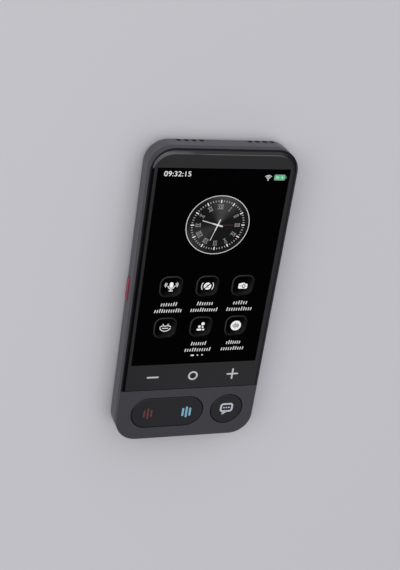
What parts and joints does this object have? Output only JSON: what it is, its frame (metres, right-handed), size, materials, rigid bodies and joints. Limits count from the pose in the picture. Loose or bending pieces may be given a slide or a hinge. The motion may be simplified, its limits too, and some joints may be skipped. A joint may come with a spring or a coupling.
{
  "type": "handheld translator",
  "caption": "Slab-shaped handheld translator: touch screen, touch keys, a rocking pill-shaped key and a round key on its chin, a red side key, speaker slots, charging port and rear camera.",
  "frame": {"origin": "middle of the flat back face of the shell", "axes": "+X across the device, to the right seen from the screen side; +Y along it, towards the end with the speaker slots; +Z out of the screen"},
  "size_m": [0.0585, 0.1256, 0.0125],
  "materials": {
    "shell": "fine matte, dark grey",
    "frame": "fine matte, dark grey",
    "glass": "gloss, dark backed",
    "screen": "gloss, black",
    "key": "satin, near black",
    "side_key": "satin, red",
    "guide": "milky, clear",
    "lamp": "clear resin",
    "steel": "plain steel",
    "tin": "tinned sheet",
    "board": "green solder mask",
    "chip": "black moulding resin",
    "flex": "amber film",
    "cell": "laminated foil",
    "foam": "black foam tape",
    "connector": "ivory plastic",
    "lead": "sleeved wire",
    "speaker": "black plastic",
    "cloth": "black acoustic cloth",
    "camera": "black, satin",
    "ring": "dark anodised"
  },
  "bodies": {
    "housing": {"back_cover": "shell", "front_frame": "frame", "cover_glass": "glass", "display_module": "screen", "display_flex": "flex", "touch_key_guide": "guide", "rocker_pin": "steel", "talk_switch_left": "tin", "talk_switch_right": "tin", "assistant_switch": "tin", "red_led": "lamp", "blue_led": "lamp", "assistant_led": "lamp", "side_switch": "tin", "side_key_board": "board", "main_board": "board", "key_board": "board", "board_link_flex": "flex", "board_screw_1": "steel", "board_screw_2": "steel", "board_screw_3": "steel", "board_screw_4": "steel", "board_screw_5": "steel", "board_screw_6": "steel", "board_screw_7": "steel", "board_screw_8": "steel", "processor": "chip", "memory_chip": "chip", "shield_can": "tin", "wireless_module": "tin", "wifi_antenna": "flex", "battery": "cell", "battery_pad": "foam", "battery_connector": "connector", "battery_lead_positive": "lead", "battery_lead_negative": "lead", "speaker_left": "speaker", "speaker_right": "speaker", "speaker_mesh_left": "cloth", "speaker_mesh_right": "cloth", "microphone": "tin", "vibration_motor": "steel", "charging_port": "steel", "camera_module": "camera", "camera_ring": "ring", "camera_window": "glass", "flash_led": "lamp", "flash_lens": "guide"},
    "rocker": {"talk_rocker": "key", "red_light_guide": "guide", "blue_light_guide": "guide"},
    "round_key": {"assistant_button": "key", "assistant_light_guide": "guide"},
    "side_key": {"side_button": "side_key"}
  },
  "joints": [
    {"name": "rocker_tilt", "type": "hinge", "parent": "housing", "child": "rocker", "pos_m": [-0.00825, -0.05064, 0.00888], "axis": [0, 1, 0], "range_deg": [-1.5, 1.5], "stiffness_Nm_per_rad": 0.1},
    {"name": "round_key_press", "type": "slide", "parent": "housing", "child": "round_key", "axis": [0, 0, -1], "range_m": [0, 0.0003], "stiffness_N_per_m": 1000},
    {"name": "side_key_press", "type": "slide", "parent": "housing", "child": "side_key", "axis": [1, 0, 0], "range_m": [0, 0.0003], "stiffness_N_per_m": 1000}
  ]
}
